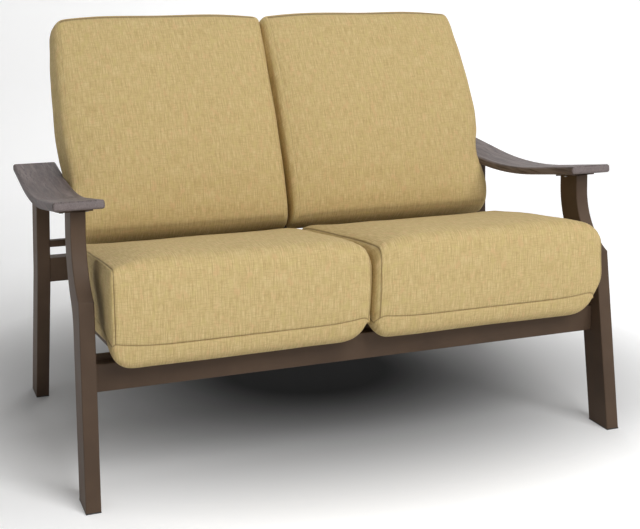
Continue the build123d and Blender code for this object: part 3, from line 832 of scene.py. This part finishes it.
# Each side is a line of (back, up), and the sides run top, front, bottom, rear. A split gives a
# seam's place along its side, at the ends and in the middle, and the rows before and after it.
# A row seam is (side, row, amount). Side seam rows run from (side, row) to (side, row), where
# side 0 as the last is the loop's end, and so it is in rest rows, from a side to a side.
# The ends are the left cushion's, then the right one's: each the middle end and the outer end.
seatSteps = (3.2, 7.0, 12.0, 19.0, 28.0, 40.0, 58.0, 82.0)
seatLook = {
    "leaning": False,
    "middleSides": (
        ((527, 431), (450, 450), (380, 466), (300, 482), (220, 496), (150, 506), (90, 513),
         (40, 517), (8, 517)),
        ((8, 517), (6.5, 460), (6, 410), (7.5, 370), (11, 336), (14, 319), (20, 286)),
        ((20, 286), (56, 286), (88, 303), (110, 302.8), (250, 288.5), (400, 273.3), (527, 260.4)),
        ((527, 260.4), (531, 310), (532, 350), (530, 390), (527, 431)),
    ),
    "edgeSides": (
        ((527, 437), (450, 456), (380, 465), (300, 473.5), (220, 481.5), (150, 489), (90, 494.5),
         (40, 498.5), (8, 501)),
        ((8, 501), (8, 455), (8, 410), (9, 370), (12, 338), (15, 319), (20, 286)),
        ((20, 286), (56, 286), (88, 303), (110, 302.8), (250, 288.5), (400, 273.3), (527, 260.4)),
        ((527, 260.4), (529, 310), (529, 350), (528, 390), (527, 437)),
    ),
    "crownReach": 120.0,
    "radii": (30.0, 24.0, 30.0, 34.0), "nominalWidth": 573.0, "middleSteps": 14,
    "splits": ((None, 12, 12), ((153.0, 181.0), 6, 2), (None, 12, 12), ((46.0, 46.0), 2, 6)),
    "ends": (
        (makeEnd((31, 18, 66, 20), (26, 24, 26, 26), 6.0, 2.0,
                 ((0, 2), (440, 2), (500, 5)), seatSteps),
         makeEnd((12, 8, 47, 26), (10, 16, 24, 26), 6.5, 3.0, ((0, 566),), seatSteps)),
        (makeEnd((33, 18, 43, 20), (30, 24, 26, 26), 11.5, 2.0, ((0, 2),), seatSteps),
         makeEnd((36, 18, 60, 26), (26, 24, 26, 26), 7.0, 6.0,
                 ((290, 565), (335, 566), (352, 575), (370, 580), (390, 579), (425, 575),
                  (465, 573), (500, 569)), seatSteps)),
    ),
    "seamWidth": 2.2, "sideSeamDepth": 1.0, "rowSeamFrom": 1.49, "seamDepth": 2.6,
    "rowSeams": ((1, 12, 1.0), (3, 8, 1.0)), "capSeams": (12,),
    "sideSeamRows": ((0, 0, 1, 12), (3, 8, 0, 0)), "restRows": (2, 3),
    "capSize": (470.0, 130.0), "capReach": 22.0,
    "waveScale": 9.0, "waveHeight": 1.6,
}
# the back cushion's side view leans with the uprights: its first axis runs out of its rear
backSteps = (4.0, 9.0, 17.0, 28.0, 42.0, 62.0, 86.0)
backLook = {
    "leaning": True,
    "middleSides": (
        ((-2.5, 734), (-28, 743), (-55, 746), (-84, 735)),
        ((-84, 735), (-96, 700), (-108, 640), (-122, 553), (-127, 463), (-126.5, 382), (-123, 308),
         (-112, 248), (-105, 219), (-93, 194), (-70, 172)),
        ((-70, 172), (-33, 165), (-2.5, 166)),
        ((-2.5, 166), (-2.5, 734)),
    ),
    "edgeSides": (
        ((-2.5, 728), (-28, 735), (-55, 737), (-80, 727)),
        ((-80, 727), (-88, 700), (-95, 640), (-103, 553), (-107, 463), (-107, 382), (-105, 308),
         (-99, 248), (-94, 219), (-84, 195), (-66, 175)),
        ((-66, 175), (-33, 168), (-2.5, 169)),
        ((-2.5, 169), (-2.5, 728)),
    ),
    "crownReach": 150.0,
    "radii": (14.0, 30.0, 12.0, 14.0), "nominalWidth": 563.0, "middleSteps": 14,
    "splits": ((None, 4, 4), (None, 14, 14), (None, 4, 4), (None, 14, 14)),
    "ends": (
        (makeEnd((7, 20, 8, 14), (10, 26, 12, 14), 18.0, 2.0, ((0, 2),), backSteps),
         makeEnd((32, 18, 18, 16), (14, 26, 12, 14), 18.0, 4.0,
                 ((170, 552), (235, 554), (275, 550), (310, 546), (345, 548), (385, 553),
                  (440, 556), (520, 553), (600, 551), (680, 545), (735, 539)), backSteps)),
        (makeEnd((22, 14, 3, 14), (16, 14, 12, 14), 18.0, 2.0, ((0, 2),), backSteps),
         makeEnd((11, 18, 18, 16), (10, 26, 12, 14), 18.0, 4.0,
                 ((170, 568), (235, 569), (275, 563), (310, 552), (345, 553), (385, 564),
                  (440, 569), (520, 567), (600, 563), (680, 556), (735, 549)), backSteps)),
    ),
    "seamWidth": 2.4, "sideSeamDepth": 0.35, "rowSeamFrom": 17.99, "seamDepth": 1.2,
    "rowSeams": ((0, 0, 1.0), (1, 0, 1.0), (2, -2, 0.4), (3, 0, 1.0)), "capSeams": (),
    "sideSeamRows": ((1, 0, 2, -2), (3, 0, 0, 0)), "restRows": (3, 0),
    "capSize": (80.0, 520.0), "capReach": 14.0,
    "waveScale": 7.0, "waveHeight": 2.2,
}

for kind, look in (("seat", seatLook), ("back", backLook)):
    for sideName, mirror in (("left", -1), ("right", 1)):
        cushion, cover = buildCushion(f"{kind}Cushion.{sideName}", look, mirror)
        fillCushion(cushion, cover, filling)
        finishCushion(cushion, cover, look)
        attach(cushion, "root")
        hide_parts(f"{kind}_cushion_{sideName}", f"{kind}_foam_{sideName}")
print("cushions made")


# Floor and backdrop: one sheet that bends up behind, with a painted shadow under the seat

def seenBy(tree, *kinds):
    # 1 where a ray of one of these kinds meets the surface, else 0
    path, seen = addNode(tree, "ShaderNodeLightPath").outputs, 0.0
    for kind in kinds:
        seen = addMath(tree, "MAXIMUM", path[f"Is {kind} Ray"], seen)
    return seen


backdropLook = {
    "fixed": {"Roughness": 0.9, "Specular IOR Level": 0.1},
    "front": -8.0, "wall": 2.4, "side": 12.0, "bend": 0.6, "height": 4.0, "bendSteps": 12,
    "near": linear(248, 248, 248), "far": linear(244, 244, 244), "patches": 1.5,
    # shade: a painted shadow, a dark patch laid on the floor under the seat; then its centre, turn,
    # shape, reach and fall-off
    "shade": linear(22, 22, 22), "shadePlace": (0.084, 0.239, 0.0), "shadeTurn": -0.3,
    "shadeShape": (1.29, 1.07, 0.75), "shadeReach": (0.165, 0.87), "shadePower": 1.35,
    # how much the sheet glows where it is seen: along x, up z, and at the front along y
    "glow": (("X", -0.8, 1.2, (0.12, 0.36)), ("Z", 0.3, 2.5, (0.0, 0.08)),
             ("Y", -0.8, -0.3, (0.35, 0.0))),
}


def makeSheet(look):
    profile = [(look["front"], 0.0), (look["wall"] - look["bend"], 0.0)]
    for step in range(1, look["bendSteps"] + 1):
        angle = math.pi / 2 * step / look["bendSteps"]
        profile.append((look["wall"] - look["bend"] * (1 - math.sin(angle)),
                        look["bend"] * (1 - math.cos(angle))))
    profile.append((look["wall"], look["height"]))
    points = [(x, y, z) for x in (-look["side"], look["side"]) for y, z in profile]
    count = len(profile)
    faces = [(i, i + count, i + 1 + count, i + 1) for i in range(count - 1)]
    mesh = bpy.data.meshes.new("backdrop")
    mesh.from_pydata(points, [], faces)
    mesh.polygons.foreach_set("use_smooth", [True] * len(faces))
    sheet = bpy.data.objects.new("backdrop", mesh)
    scene.collection.objects.link(sheet)
    return sheet


def makePaleSheet(look):
    material, tree, shader = newMaterial("paleBackdrop", look["fixed"])
    surface = addNode(tree, "ShaderNodeNewGeometry").outputs
    away = addNode(tree, "ShaderNodeMapping", {
        "Vector": surface["Position"], "Location": look["shadePlace"],
        "Rotation": (0.0, 0.0, look["shadeTurn"]), "Scale": look["shadeShape"]},
        vector_type="TEXTURE").outputs[0]
    away = addNode(tree, "ShaderNodeVectorMath", {0: away}, operation="LENGTH").outputs["Value"]
    # the painted shadow: dark at its centre and fading out to its reach; it darkens both the
    # sheet's colour and its glow
    clear = addMath(tree, "POWER", ramp(tree, away, *look["shadeReach"]), look["shadePower"])
    color = mixColor(tree, objectNoise(tree, look["patches"]), look["near"], look["far"])
    color = mixColor(tree, clear, look["shade"], color)
    axes = addNode(tree, "ShaderNodeSeparateXYZ", {0: surface["Position"]}).outputs
    glow = 0.0
    for axis, low, high, amount in look["glow"]:
        glow = addMath(tree, "ADD", ramp(tree, axes[axis], low, high, amount), glow)
    feed(tree, shader, {"Base Color": color, "Emission Color": color,
                        "Emission Strength": times(tree, seenBy(tree, "Camera", "Glossy"), glow)})
    # seen from behind, the sheet is clear
    clearSide = addNode(tree, "ShaderNodeMixShader", {
        0: surface["Backfacing"], 1: shader.outputs[0],
        2: addNode(tree, "ShaderNodeBsdfTransparent").outputs[0]})
    feed(tree, tree.nodes["Material Output"], {"Surface": clearSide.outputs[0]})
    return material


backdrop = makeSheet(backdropLook)
backdrop.data.materials.append(makePaleSheet(backdropLook))

skyLook = {"color": (1.0, 1.0, 1.0, 1.0), "strength": (0.2, 0.93)}  # lighting, then seen
studio = bpy.data.worlds.new("studio")
scene.world = studio
studio.use_nodes = True
seen = seenBy(studio.node_tree, "Camera", "Glossy", "Transmission")
feed(studio.node_tree, studio.node_tree.nodes["Background"], {
    "Color": skyLook["color"],
    "Strength": ramp(studio.node_tree, seen, 0.0, 1.0, skyLook["strength"])})
print("backdrop made")
